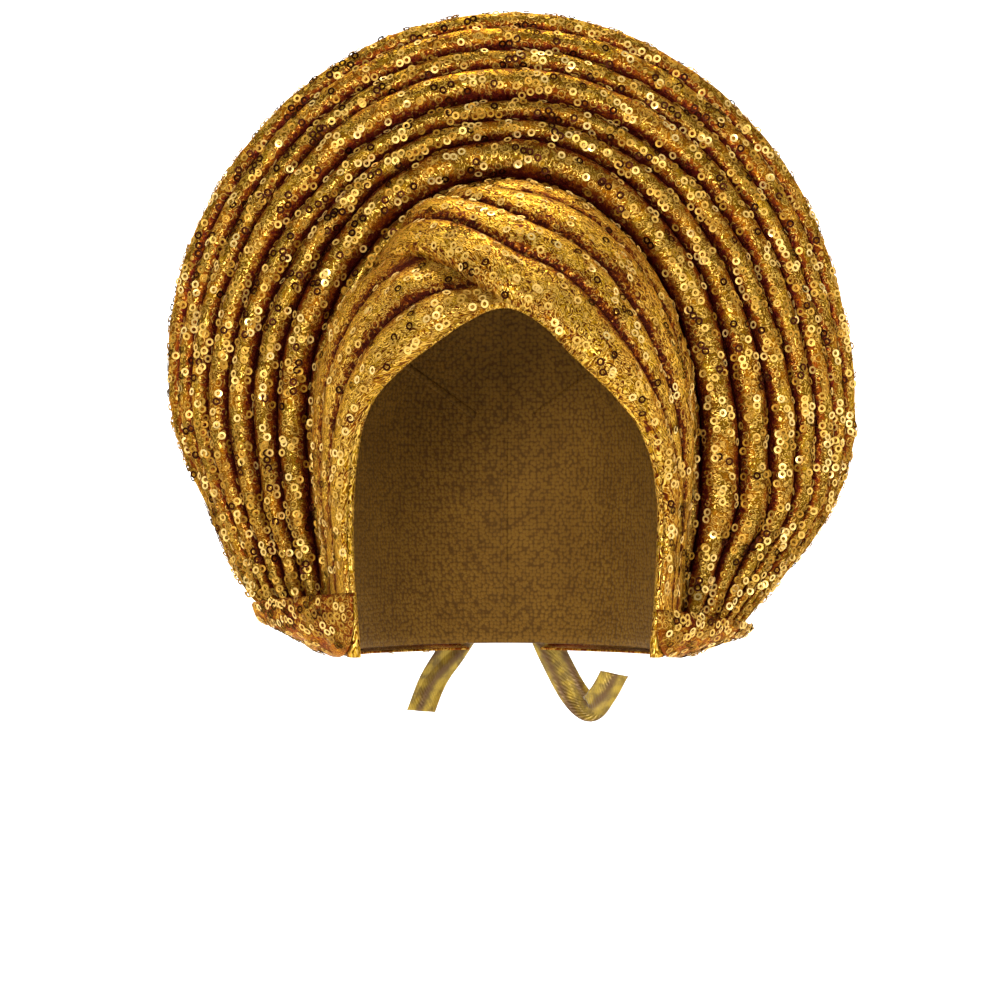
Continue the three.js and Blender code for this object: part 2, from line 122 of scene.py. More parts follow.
# The back cloth and its gathers.
NAPE_WIDTH = 60
NAPE_RISE = 20
NAPE_SETBACK = 8
NAPE_LEVEL = 0.9
DRAPE_RUN = 48
DRAPE_SPREAD = 45
DRAPE_FALL = 95
DRAPE_FULLNESS = 24
GATHERS = 8
GATHER_DEPTH = 5
GATHER_RUN = 0.83
GATHER_WANDER = 0.012
FINE_GATHERS = 34
FINE_DEPTH = 1.1
FINE_FROM = 0.25
FINE_RUN = 0.6
BILLOW = 1.6
BILLOW_RUN = 0.2
HEM_SHARE = 0.025
HEM_ROLL = 1.4

# The pockets that take in the ends of the rolls.
LIP_RUN = 0.25
TIP_RUN = 0.12
LIP_FORWARD = 13
LIP_TUCK = 2.5
LIP_CURL_RUN = 0.03
UNDER_SWELL = 10
POCKET_FOLDS = 3.5
POCKET_RISE = 0.4
POCKET_FOLD_RUN = 0.3
LIPS = {-1: {"drop": 0, "tip_rise": 8, "overhang": 7}, 1: {"drop": 7, "tip_rise": 3, "overhang": 5}}

# The knot and its tails.
KNOT_WIDTH = 34
KNOT_DEPTH = 15
KNOT_HEIGHT = 24
KNOT_DROP = 5
KNOT_NESTLE = 1.2
KNOT_FOLDS = 7
KNOT_PINCH = 0.3
BAND_WIDTH = 9
BAND_SEAT = 0.88
BAND_FOLDS = 3
TAIL_WIDTH = 13
TAIL_HANG = 50
TAIL_NECK = 0.72
TAIL_FOLDS = 1.5
TAIL_FOLD_RISE = 0.75
TAIL_SLANT = 4
LEAVING_ANGLE = 40

# A ring sequin.
SEQUIN_WIDTH = 3.5
SEQUIN_HOLE = 1.75
SEQUIN_CUP = 0.1
SEQUIN_THICKNESS = 0.2
SEQUIN_SIDES = 12
SEQUIN_TILT = 15
# Sequins painted dark as reflections of dark surroundings: their share, and their tones.
DARK_REFLECTION_SHARE = 0.22
DARK_REFLECTION_TONES = (0, 0.13)
TOUCHING_GAP = (2.7, 4.2)
FARTHEST_ASIDE = 1.8

# Lanes of sequins: across a roll from its middle, across a pleat, and along a pocket from its lip.
FAN_LANES = (-0.2, -0.07, 0.06, 0.19)
FAN_DULLEST = 0.3
WRAP_LANES = (0.25, 0.5, 0.75)
WRAP_DULLEST = 0.55
DRAPE_LANES = 62
POCKET_LANES = (0.02, 0.045, 0.07, 0.1, 0.14, 0.19, 0.25, 0.32, 0.41, 0.5, 0.6, 0.72, 0.86)

# The edge of the face opening: arch angle, and how far back from the face it lies.
OPENING = [
    (-150, 57), (-120, 60), (-104, 58), (-92, 54), (-82, 48), (-66, 37), (-48, 30), (-25, 27.5), (0, 28),
    (25, 26.5), (48, 26.5), (66, 31), (80, 39), (90, 48), (100, 56), (115, 60), (150, 57),
]

# Cross-sections of the fan: arch angle, shares of its reach and lean, and where a section turns back.
REACH, LEAN, TURN = 1, 2, 3
FAN_SECTIONS = [
    (-140, 0.32, 0.4, 0.95), (-134, 0.42, 0.55, 0.95), (-125, 0.51, 0.75, 0.95),
    (-110, 0.62, 0.95, 0.95), (-90, 0.78, 0.95, 0.88), (-70, 0.9, 0.92, 0.75),
    (-45, 0.96, 0.95, 0.66), (-20, 0.99, 1, 0.62), (0, 1, 1, 0.62), (20, 1.01, 1, 0.62),
    (45, 0.99, 0.95, 0.66), (70, 0.94, 0.92, 0.72), (90, 0.9, 0.92, 0.82), (108, 0.8, 0.95, 0.95),
    (120, 0.67, 0.85, 0.95), (134, 0.46, 0.55, 0.95), (143, 0.33, 0.4, 0.95),
]

# Widths of the rolls from the head outwards, as parts of a section at the left, top and right.
ROLLS = [
    (15, 15, 12), (22, 33, 26), (20, 19, 25), (23, 18, 24),
    (23, 31, 21), (22, 21, 22), (20, 27, 21), (24, 22, 22),
]

# Seams inside the cap, each from one arch and depth angle to another.
WELTS = [((0, 31), (0, 176)), ((62, 32), (62, 168)), ((-62, 38), (-62, 168)), ((91, 180), (149, 180))]

# Fold lines of each wrap: shares of the way back at the temple and at the crown, and the arch angles
# at which a fold leaves its share and meets the fan.
TEMPLE, CROWN, LEAVE, MEET = 0, 1, 2, 3
FOLDS = {
    1: [(0, 0, 8, -50), (0.27, 0.26, 15, -40), (0.46, 0.46, 18, -24), (0.78, 0.74, 10, -16), (1, 1, 0, -50)],
    -1: [(0, 0.03, -60, -120), (0.3, 0.12, -60, -120), (0.6, 0.36, -60, -120), (1, 1, -60, -120)],
}

# Sections of a pocket from its lip to the nape: run, then the columns that follow.
POCKET_TURN, POCKET_DROP, POCKET_EDGE, POCKET_SWELL, POCKET_TILT = 1, 2, 3, 4, 5
POCKET_SECTIONS = [
    (0, 58, 0.71, 0, 1, 0), (0.12, 58, 0.87, 0.01, 0.9, 20), (0.25, 63, 0.97, 0.07, 0.5, 60),
    (0.5, 100, 1, 0.3, 0.6, 80), (0.75, 138, 1.01, 0.62, 0.4, 90), (1, 166, 1.01, 0.94, 0, 90),
]

# Routes of the tails: across, as shares of the nape's width, and back and down, of the tails' hang.
TAIL_ROUTES = {
    "tie_tail_right": [
        (0.38, 0.06, 0.62), (0.54, 0.08, 0.98), (0.67, 0, 1.13), (0.77, -0.12, 0.99), (0.86, -0.18, 0.79),
    ],
    "tie_tail_left": [(-0.4, 0.06, 0.56), (-0.56, 0.06, 0.86), (-0.66, 0.02, 1.16)],
}

# The camera: its place in metres, and its lens and sensor.
CAMERA_PLACE = (-0.0022, -1.370, -0.1295)
CAMERA_LENS = 112.85
SENSOR_WIDTH = 36

LOWER_ARCH = OPENING[-1][0]
FAN_LEFT_END = FAN_SECTIONS[0][0]
FAN_RIGHT_END = FAN_SECTIONS[-1][0]


def lerp(start, end, share):
    return start + (end - start) * share


def clamp(value):
    return min(max(value, 0.0), 1.0)


def ease(share):
    share = clamp(share)
    return share * share * (3 - 2 * share)


def look_up(table, at, column=1):
    """The value of a column at a place between the rows of a table, on a smooth curve."""
    last = len(table) - 1
    row = 0
    while row < last - 1 and at > table[row + 1][0]:
        row += 1
    near, far = table[row], table[row + 1]
    before, after = table[max(row - 1, 0)], table[min(row + 2, last)]
    span = far[0] - near[0]
    slope_near = (far[column] - before[column]) / (far[0] - before[0]) * span
    slope_far = (after[column] - near[column]) / (after[0] - near[0]) * span
    t = clamp((at - near[0]) / span)
    keep = 1 - ease(t)
    near_bend = t * (1 - t) * (1 - t)
    far_bend = t * t * (t - 1)
    return keep * near[column] + near_bend * slope_near + (1 - keep) * far[column] + far_bend * slope_far


def split(v, parts):
    """Which of a number of equal parts a share falls in, and the share within that part."""
    part = min(int(v * parts + 1e-6), parts - 1)
    return part, clamp(v * parts - part)


def ripple(point, size, layer):
    """Smooth noise from -1 to 1 that changes over about `size` millimetres."""
    return noise.noise(point / size + Vector((17.3, 5.1, 9.7)) * layer)


def dents(point, sizes):
    """The shallow dents of a cloth: sizes holds the rise, the width and the noise layer of each kind."""
    return sum(rise * ripple(point, width, layer) for rise, width, layer in sizes)


def head_point(arch, depth, grow):
    """A point of the head form grown outwards by `grow`."""
    side, back = math.radians(arch), math.radians(depth)
    across = (HEAD_WIDTH / 2 + grow) * math.sin(back)
    behind = -(HEAD_LENGTH / 2 + grow) * math.cos(back)
    if abs(arch) <= 90:
        rise = (CROWN_HEIGHT + grow) * math.sin(back) * math.cos(side)
        return Vector((across * math.sin(side), behind, rise - CROWN_HEIGHT))
    down = (abs(arch) - 90) / (LOWER_ARCH - 90)
    narrowing = 1 - NAPE_TAPER * down * down * (1 - math.cos(back)) / 2
    aside = math.copysign(across, arch) * narrowing
    return Vector((aside, behind * narrowing, -CROWN_HEIGHT - down * SIDE_DROP))


def outwards(arch):
    """The direction straight out of the head at an arch angle, in the plane of the fan."""
    if abs(arch) > 90:
        return Vector((math.copysign(1, arch), 0, 0))
    x = math.sin(math.radians(arch)) / (HEAD_WIDTH / 2)
    return Vector((x, 0, math.cos(math.radians(arch)) / CROWN_HEIGHT)).normalized()


@lru_cache(maxsize=None)
def fan_section(arch):
    """A section of the fan: its start, its direction out, its bend, its end and its length."""
    reach = FAN_REACH * look_up(FAN_SECTIONS, arch, REACH)
    lean = FAN_LEAN * look_up(FAN_SECTIONS, arch, LEAN)
    turn = reach * look_up(FAN_SECTIONS, arch, TURN)
    bend, end = Vector((turn, lean * 0.1)), Vector((reach, lean))
    steps = [2 * t * (1 - t) * bend + t * t * end for t in (k / 12 for k in range(13))]
    length = sum((b - a).length for a, b in zip(steps, steps[1:]))
    return head_point(arch, 90, CAP_WALL + LAYER_GAP), outwards(arch), bend, end, length


def fan_line(arch, share):
    """Where the fan's cloth runs before its rolls are raised, its forward normal and its length."""
    start, out, bend, end, length = fan_section(arch)
    at = 2 * share * (1 - share) * bend + share * share * end
    along = ((1 - share) * bend + share * (end - bend)).normalized()
    back = Vector((0, 1, 0))
    return start + out * at.x + back * at.y, out * along.y - back * along.x, length


@lru_cache(maxsize=None)
def roll_edges(arch):
    """The folds between the fan's rolls as shares of the section, each wandering a little."""
    side = ease(abs(arch) / 90)
    widths = [lerp(top, left if arch < 0 else right, side) for left, top, right in ROLLS]
    edges = [0.0]
    for number, width in enumerate(widths):
        wander = MEANDER * ripple(Vector((arch, number * 40, 0)), 13, 3)
        edges.append(edges[-1] + width * (1 + wander))
    return [edge / edges[-1] for edge in edges]


def roll_section(within):
    """How far across a roll a point of its section lies, how high, and how much it faces the eye, used as
    painted light.
    """
    turn = math.radians(lerp(-ROLL_SWEEP, ROLL_SWEEP, within))
    across = 0.5 + 0.5 * ROLL_NECK * math.sin(turn)
    low = math.cos(math.radians(ROLL_SWEEP))
    rise = (math.cos(turn) - low) / (1 - low)
    from_fold = ease(min(within, 1 - within) / FOLD_SHARE)
    # How much a point faces the eye is painted light: full on top of the roll, falling to painted shade on
    # the flanks and in the folds.
    facing = 1 - abs(math.sin(turn)) if abs(turn) < math.pi / 2 else 0
    return lerp(round(within), across, from_fold), rise, facing


def fan_surface(u, v):
    """The face of the fan, and its painted light, full where a roll faces the eye and falling to painted
    shade in its grooves.
    """
    arch = lerp(FAN_LEFT_END, FAN_RIGHT_END, u)
    roll, within = split(v, len(ROLLS))
    across, rise, crest = roll_section(within)
    edges = roll_edges(arch)
    share = lerp(edges[roll], edges[roll + 1], across)
    line, facing, length = fan_line(arch, share)
    width = (edges[roll + 1] - edges[roll]) * length
    puff = 1 + PUFF_VARIATION * ripple(Vector((arch, roll * 30, 0)), 9, 1)
    top = FAN_WALL + ROLL_LOFT * width * puff
    point = line + facing * lerp(-FOLD_DEPTH, top, rise)
    return point + facing * dents(point, FAN_DENTS) * rise, crest


def fold_share(fold, from_crown):
    settled = lerp(fold[CROWN], fold[TEMPLE], ease(from_crown / SETTLED_FOLD))
    dive = clamp((fold[LEAVE] - from_crown) / (fold[LEAVE] - fold[MEET]))
    return lerp(settled, 1, dive ** DIVE_POWER)


def fold_shares(folds, from_crown):
    """How far back each fold of a wrap lies, kept a little apart where they run together."""
    last = len(folds) - 1
    return [
        min(fold_share(fold, from_crown), 1 - NARROWEST_PLEAT * (last - number))
        for number, fold in enumerate(folds)
    ]


def wrap_depth(arch, share):
    rear = 90 - math.degrees(math.asin(WRAP_REAR_GAP / (HEAD_LENGTH / 2)))
    return lerp(look_up(OPENING, arch), rear, share)


def crossing_arch(share):
    """The arch angle at which the right wrap's edge crosses a share of the way back."""
    edge = FOLDS[1][0]
    return edge[LEAVE] + (edge[MEET] - edge[LEAVE]) * share ** (1 / DIVE_POWER)


def roll_profile(within):
    return math.sqrt(max(math.sin(math.pi * clamp(within)), 0))


def pleat_height(width, within, from_crown):
    loft = min(width * WRAP_LOFT, WRAP_LOFT_MOST)
    flat = LEG_FLATNESS * ease((from_crown - LEG_FLAT_FROM) / LEG_FLAT_OVER)
    return loft * (1 - flat) * roll_profile(within)


def crossing_rise(side, from_crown, share, height):
    past = side * from_crown - crossing_arch(share)
    if side > 0:
        return height + CROSSING_LIFT * (1 - ease((past - OVERLAP) / LIFT_FADE))
    return height * ease(-past / OVERLAP)


def wrap_surface(side):
    """The face of a wrap: 1 is the right one, which lies on top, and -1 the left one."""
    folds = FOLDS[side]

    def surface(u, v):
        pleat, within = split(v, len(folds) - 1)
        far_end = folds[0][MEET] + TUCKED if side > 0 else -crossing_arch(v) - OVERLAP
        from_crown = lerp(far_end, WRAP_END, u if side > 0 else 1 - u)
        arch = side * from_crown
        shares = fold_shares(folds, from_crown)
        share = lerp(shares[pleat], shares[pleat + 1], within)
        near = head_point(arch, wrap_depth(arch, shares[pleat]), 0)
        width = (near - head_point(arch, wrap_depth(arch, shares[pleat + 1]), 0)).length
        height = crossing_rise(side, from_crown, share, pleat_height(width, within, from_crown))
        depth = wrap_depth(arch, share)
        rise = roll_profile(within)
        height *= ease((from_crown - far_end + TUCKED) / SETTLING)
        base = head_point(arch, depth, 0)
        height += rise * dents(base, WRAP_DENTS)
        if pleat == 0 and within < CURL_SHARE:
            height -= EDGE_CURL * (1 - math.sqrt(1 - (1 - within / CURL_SHARE) ** 2))
        # Painted light of the pleat: painted shade gathers along its folds, and only half as much on the
        # lower edge of the first pleat.
        crest = 0.5 if pleat == 0 and within < 0.5 else 0
        crest = clamp(max(crest, 1.25 * (1 - abs(2 * within - 1))))
        return head_point(arch, depth, CAP_WALL + LAYER_GAP + WRAP_WALL + height), crest

    return surface


def nape_point(u):
    """Where the back cloth meets the nape, at a share u of the way from its left end to its right."""
    round_turn = math.pi * (u - 0.5)
    bottom = head_point(lerp(90, LOWER_ARCH, NAPE_LEVEL), 180, CAP_WALL)
    return Vector((
        NAPE_WIDTH / 2 * math.sin(round_turn),
        bottom.y + NAPE_SETBACK,
        bottom.z + NAPE_RISE * math.cos(round_turn),
    ))


@lru_cache(maxsize=None)
def drape_line(u):
    """The four points that shape the back cloth from the fan's rim to the nape."""
    rim = fan_line(lerp(FAN_LEFT_END, FAN_RIGHT_END, u), 1)[0] + Vector((0, LAYER_GAP, 0))
    round_turn = math.pi * (u - 0.5)
    nape = nape_point(u)
    above = Vector((DRAPE_SPREAD * math.sin(round_turn), DRAPE_FULLNESS, DRAPE_FALL * math.cos(round_turn)))
    return rim, rim + Vector((0, DRAPE_RUN, 0)), nape + above, nape


def drape_base(u, v):
    rim, behind, above, nape = drape_line(u)
    w = 1 - v
    return w * w * w * rim + 3 * w * w * v * behind + 3 * w * v * v * above + v * v * v * nape


def off_surface(base, u, v, height):
    """A point that lies `height` off a smooth surface."""
    step = 1e-3
    at_u, at_v = min(max(u, step), 1 - step), min(max(v, step), 1 - step)
    along_u = base(at_u + step, at_v) - base(at_u - step, at_v)
    along_v = base(at_u, at_v + step) - base(at_u, at_v - step)
    return base(u, v) + along_u.cross(along_v).normalized() * height


def drape_surface(u, v):
    """The back cloth, drawn into gathers that deepen towards the nape."""
    base = drape_base(u, v)
    wander = GATHER_WANDER * ripple(base, 40, 7)
    wave = 0.5 - 0.5 * math.cos(2 * math.pi * GATHERS * (u + wander * math.sin(math.pi * u)))
    fine = 0.5 - 0.5 * math.cos(2 * math.pi * FINE_GATHERS * u + 3 * ripple(base, 30, 8))
    height = GATHER_DEPTH * wave * ease(v / GATHER_RUN)
    height += FINE_DEPTH * fine * ease((v - FINE_FROM) / FINE_RUN)
    height += BILLOW * ripple(base, 34, 9) * ease(v / BILLOW_RUN) + 0.4 * ripple(base, 7, 10)
    hem = 1 - ease(v / HEM_SHARE)
    point = off_surface(drape_base, u, v, DRAPE_WALL + height - HEM_ROLL * hem)
    point.y -= HEM_ROLL * hem
    # The last value is painted light: painted shade in the hollows between the gathers.
    return point, clamp(0.35 + 0.4 * wave + 0.25 * fine)


def pocket_base(side, u, v):
    """The cloth under one end of the fan, from its lip at u = 0 to the nape at u = 1."""
    in_front = 1 - ease(u / LIP_RUN)
    grow = CAP_WALL + LAYER_GAP * (1 + in_front)
    level = lerp(90, LOWER_ARCH, look_up(POCKET_SECTIONS, u, POCKET_DROP))
    depth = look_up(POCKET_SECTIONS, u, POCKET_TURN) - LIP_TUCK * in_front
    at_head = head_point(side * level, depth, grow)
    border = drape_base(1 if side > 0 else 0, look_up(POCKET_SECTIONS, u, POCKET_EDGE))
    beyond = LIPS[side]["overhang"] * in_front
    border += Vector((side * (DRAPE_WALL + beyond), -LIP_FORWARD * in_front, -UNDER_GAP))
    at_head.z -= LIPS[side]["drop"] * in_front
    border.z += LIPS[side]["tip_rise"] * (1 - ease(u / TIP_RUN))
    chord = border - at_head
    outward = Vector((-chord.y, chord.x, 0)).normalized() * -side
    tilt = math.radians(look_up(POCKET_SECTIONS, u, POCKET_TILT))
    swell = UNDER_SWELL * look_up(POCKET_SECTIONS, u, POCKET_SWELL)
    belly = (at_head + border) / 2 + outward * swell * math.cos(tilt)
    belly.z -= swell * math.sin(tilt)
    w = 1 - v
    return w * w * at_head + 2 * w * v * belly + v * v * border


def pocket_surface(side):
    def base(u, v):
        return pocket_base(side, u, v if side > 0 else 1 - v)

    def surface(u, v):
        at = base(u, v)
        fold = math.sin(2 * math.pi * (POCKET_FOLDS * v + 0.4 * ripple(at, 30, 11)))
        inside = math.sin(math.pi * v)
        height = POCKET_RISE * (fold * ease(u / POCKET_FOLD_RUN) + ripple(at, 14, 12)) * inside
        curl = EDGE_CURL * (1 - math.sqrt(1 - (1 - clamp(u / LIP_CURL_RUN)) ** 2))
        # The last value is painted light: painted shade in the hollows of the folds.
        return off_surface(base, u, v, DRAPE_WALL + height - curl), 0.36 + 0.16 * fold

    return surface


def cap_surface(u, v):
    """The outside of the fitted cap, from the edge of the face opening to the back."""
    arch = lerp(-LOWER_ARCH, LOWER_ARCH, u)
    return head_point(arch, lerp(cap_rim(arch)[0], 180, v), CAP_WALL), 1.0


def cap_rim(arch):
    """The depth angle of the cap's edge, and how many millimetres a degree of depth is there."""
    depth = look_up(OPENING, arch) + CAP_SETBACK
    return depth, (head_point(arch, depth + 0.5, 0) - head_point(arch, depth - 0.5, 0)).length


def binding_surface(u, v):
    """The binding, folded over the cap's edge from the outside to the inside."""
    arch = lerp(-LOWER_ARCH, LOWER_ARCH, u)
    depth, degree = cap_rim(arch)
    middle = CAP_WALL - CAP_CLOTH / 2
    half = CAP_CLOTH / 2 + BINDING_CLOTH + BINDING_EASE
    turn = clamp((v - BINDING_FACE) / (1 - 2 * BINDING_FACE))
    flat = max(BINDING_FACE - v, v - 1 + BINDING_FACE, 0) / BINDING_FACE
    back = flat * BINDING_WIDTH - half * math.sin(math.pi * turn)
    pucker = BINDING_PUCKER * math.sin(arch * 3.1) * math.sin(math.pi * v)
    grow = middle + (half + pucker) * math.cos(math.pi * turn)
    # The last value is painted light: painted shade along both edges of the binding, where it meets the cap.
    from_edge = min(v, 1 - v) / BINDING_SEAM
    return head_point(arch, depth + back / degree, grow), clamp(1 - 3 * (1 - clamp(from_edge)))


def welt_surface(start, end, middle):
    """A soft welt on the inside of the cap. start and end are arch and depth angles."""
    def surface(u, v):
        arch, depth = lerp(start[0], end[0], u), lerp(start[1], end[1], u)
        across = (v - 0.5) * WELT_WIDTH
        inside = CAP_WALL - CAP_CLOTH - WELT_RISE * math.sin(math.pi * v) ** 0.7
        point = head_point(arch, depth, inside)
        if middle:
            return point + Vector((across, 0, 0)), 1.0
        aside = head_point(arch + 0.5, depth, inside) - head_point(arch - 0.5, depth, inside)
        return point + aside.normalized() * across, 1.0

    return surface


def knot_centre():
    nape = nape_point(0.5)
    seat = DRAPE_WALL + GATHER_DEPTH - KNOT_NESTLE + KNOT_DEPTH / 2 + SEAT_GAP
    return nape + Vector((0, seat, -KNOT_DROP))


def tail_line(route):
    """The points that a tail follows from the foot of the knot."""
    centre = knot_centre()
    leaving = math.radians(LEAVING_ANGLE) * math.copysign(1, route[0][0])
    out = Vector((math.sin(leaving), 0, -math.cos(leaving)))
    foot = centre + Vector((out.x * KNOT_WIDTH, 0, out.z * KNOT_HEIGHT)) / 2 + out * SEAT_GAP
    points = [foot, foot + out * 5]
    for across, back, down in route:
        points.append(centre + Vector((NAPE_WIDTH * across, TAIL_HANG * back, -TAIL_HANG * down)))
    return points


def curve_point(points, share):
    """A point on the smooth curve through all points, and the direction of the curve there."""
    place, t = split(share, len(points) - 1)
    start, end = points[place], points[place + 1]
    before = points[place - 1] if place else 2 * start - end
    after = points[place + 2] if place + 2 < len(points) else 2 * end - start
    slope_start, slope_end = (end - before) / 2, (after - start) / 2
    bend = 2 * (start - end) + slope_start + slope_end
    lift = 3 * (end - start) - 2 * slope_start - slope_end
    at = start + t * (slope_start + t * (lift + t * bend))
    return at, (slope_start + 2 * t * lift + 3 * t * t * bend).normalized()


def tail_surface(route):
    points = tail_line(route)

    def surface(u, v):
        middle, along = curve_point(points, u)
        across = Vector((0, 1, 0)).cross(along).normalized()
        aside = v - 0.5
        narrow = lerp(TAIL_NECK, 1, ease(u / 0.35))
        fold = math.cos(2 * math.pi * (TAIL_FOLDS * v + 0.35 * math.sin(5 * u)))
        point = middle + across * aside * TAIL_WIDTH * narrow
        point += along * TAIL_SLANT * aside * ease((u - 0.75) / 0.25)
        point.y += TIE_CLOTH / 2 + TAIL_FOLD_RISE * fold * narrow + 0.35 * ripple(middle, 8, 13)
        # The last value is painted light, with painted shade in the troughs of the folds.
        return point, clamp(0.6 + 0.4 * fold)

    return surface


class Wire:
    """A socket that sums can be written on: each operator adds the node that works it out."""

    def __init__(self, finish, socket):
        self.finish = finish
        self.socket = socket

    def sum(self, operation, other, swapped=False):
        first, second = (other, self) if swapped else (self, other)
        return self.finish.node("Math", {"operation": operation}, {0: first, 1: second})

    def __add__(self, other):
        return self.sum("ADD", other)

    def __sub__(self, other):
        return self.sum("SUBTRACT", other)

    def __mul__(self, other):
        return self.sum("MULTIPLY", other)

    def __rsub__(self, other):
        return self.sum("SUBTRACT", other, swapped=True)

    def __abs__(self):
        return self.finish.node("Math", {"operation": "ABSOLUTE"}, {0: self})

    __radd__ = __add__
    __rmul__ = __mul__


class Finish:
    """A material that is being made."""

    def __init__(self, name, **constants):
        self.material = bpy.data.materials.new(name)
        self.material.use_nodes = True
        self.tree = self.material.node_tree
        self.shader = self.tree.nodes["Principled BSDF"]
        self.set(**constants)

    def set(self, **sockets):
        """Sets or links the shader's own sockets, named with _ in place of spaces."""
        for name, value in sockets.items():
            self.feed(self.shader.inputs[name.replace("_", " ")], value)

    def feed(self, socket, value):
        if isinstance(value, Wire):
            self.tree.links.new(value.socket, socket)
        elif isinstance(value, tuple) and socket.type == "RGBA":
            socket.default_value = (*value, 1)
        else:
            socket.default_value = value

    def node(self, kind, settings=None, sockets=None, output=0):
        made = self.tree.nodes.new("ShaderNode" + kind)
        for name, value in (settings or {}).items():
            if name == "stops":
                self.set_stops(made.color_ramp.elements, value)
            else:
                setattr(made, name, value)
        for name, value in (sockets or {}).items():
            self.feed(made.inputs[name], value)
        return Wire(self, made.outputs[output])

    def set_stops(self, elements, stops):
        while len(elements) < len(stops):
            elements.new(0.5)
        for element, (place, colour) in zip(elements, stops):
            element.position = place
            element.color = (*colour, 1)

    def ramp(self, value, stops):
        return self.node("ValToRGB", {"stops": stops}, {"Fac": value})

    def mix(self, first, second, share):
        settings = {"data_type": "RGBA", "clamp_factor": True}
        return self.node("Mix", settings, {0: share, 6: first, 7: second}, output=2)

    def fade(self, value, low, high):
        """0 up to `low` and 1 from `high` on, with a soft step between them."""
        settings = {"interpolation_type": "SMOOTHSTEP"}
        return self.node("MapRange", settings, {"Value": value, "From Min": low, "From Max": high})

    def place(self, stretch=(1, 1, 1), source="Object"):
        """Object coordinates, or the piece's own UV map, in millimetres, stretched along its axes."""
        coordinates = self.node("TexCoord", output={"Object": 3, "UV": 2}[source])
        scale = tuple(1 / (MM * each) for each in stretch)
        return self.node("Mapping", {}, {"Vector": coordinates, "Scale": scale})

    def noise(self, at, size, detail=2.0, curl=0.0):
        sockets = {"Vector": at, "Scale": 1 / size, "Detail": detail, "Distortion": curl}
        return self.node("TexNoise", {}, sockets)

    def attribute(self, name):
        return self.node("Attribute", {"attribute_name": name}, output=2)

    def bump(self, height, distance):
        return self.node("Bump", {}, {"Height": height, "Distance": distance * MM, "Strength": 1.0})


SATIN_OLIVE = (0.165, 0.082, 0.003)
SATIN_GOLD = (0.44, 0.235, 0.008)
SATIN_ORANGE = (0.36, 0.12, 0.004)
THREAD_BRIGHT = (0.86, 0.52, 0.095)
# Brown of the dark threads, also painted as shadow round the faint rings.
THREAD_AND_SHADOW_BROWN = (0.080, 0.011, 0.002)
# Colours of painted shade: amber on the banks of the grooves, and maroon and wine in the grooves of the fan
# and the wraps, partly the cloth's own maroon and partly painted shade.
AMBER_BANK_SHADE = (0.22, 0.045, 0.003)
MAROON_GROOVE_SHADE = (0.085, 0.008, 0.005)
WINE_GROOVE_SHADE = (0.040, 0.005, 0.003)
KNIT_BROWN = (0.085, 0.034, 0.004)
KNIT_GOLD = (0.24, 0.115, 0.014)
KNIT_GAP = (0.035, 0.012, 0.002)
TIE_OLIVE = (0.17, 0.10, 0.006)
TIE_GOLD = (0.40, 0.26, 0.018)
TIE_FOLD_SHADE = (0.09, 0.035, 0.003)
PAPER_WHITE = (0.9, 0.9, 0.9)
# Tones of the sequins, the darkest painted as reflections of dark surroundings.
SEQUIN_TONES_AND_REFLECTIONS = [
    (0.0, (0.016, 0.003, 0.002)), (0.14, (0.05, 0.010, 0.004)), (0.17, (0.22, 0.09, 0.006)),
    (0.5, (0.38, 0.19, 0.018)), (0.7, (0.66, 0.40, 0.08)), (1.0, (0.82, 0.57, 0.19)),
]

# Widths of the patterns in millimetres.
RING_PITCH = 4.4
STITCH_SIZE = 1.7
THREAD_CURL = 3.1


def curled_threads(finish, at, size):
    """Dark and bright threads that curl between each other and break off."""
    field = finish.noise(at, size, detail=1.0, curl=1.5)
    wave = finish.node("Math", {"operation": "SINE"}, {0: field * 27})
    breaks = (finish.noise(at, size * 0.45, detail=2) - 0.5) * 3.0
    return finish.fade(wave + breaks, 0.3, 0.75), finish.fade(breaks - wave, 0.35, 0.8)


def ghost_rings(finish, at):
    """Faint rings, sequins that lie flat and take the colour of the cloth, and the dark rims of painted
    shadow round them.
    """
    cells = {"voronoi_dimensions": "3D", "feature": "F1"}
    distance = finish.node("TexVoronoi", cells, {"Vector": at, "Scale": 1 / RING_PITCH, "Randomness": 1.0})
    off_ring = abs(distance - 0.36)
    ring = 1 - finish.fade(off_ring, 0.04, 0.07)
    ring_shadow = finish.fade(off_ring, 0.05, 0.08) - finish.fade(off_ring, 0.09, 0.13)
    return ring, ring_shadow


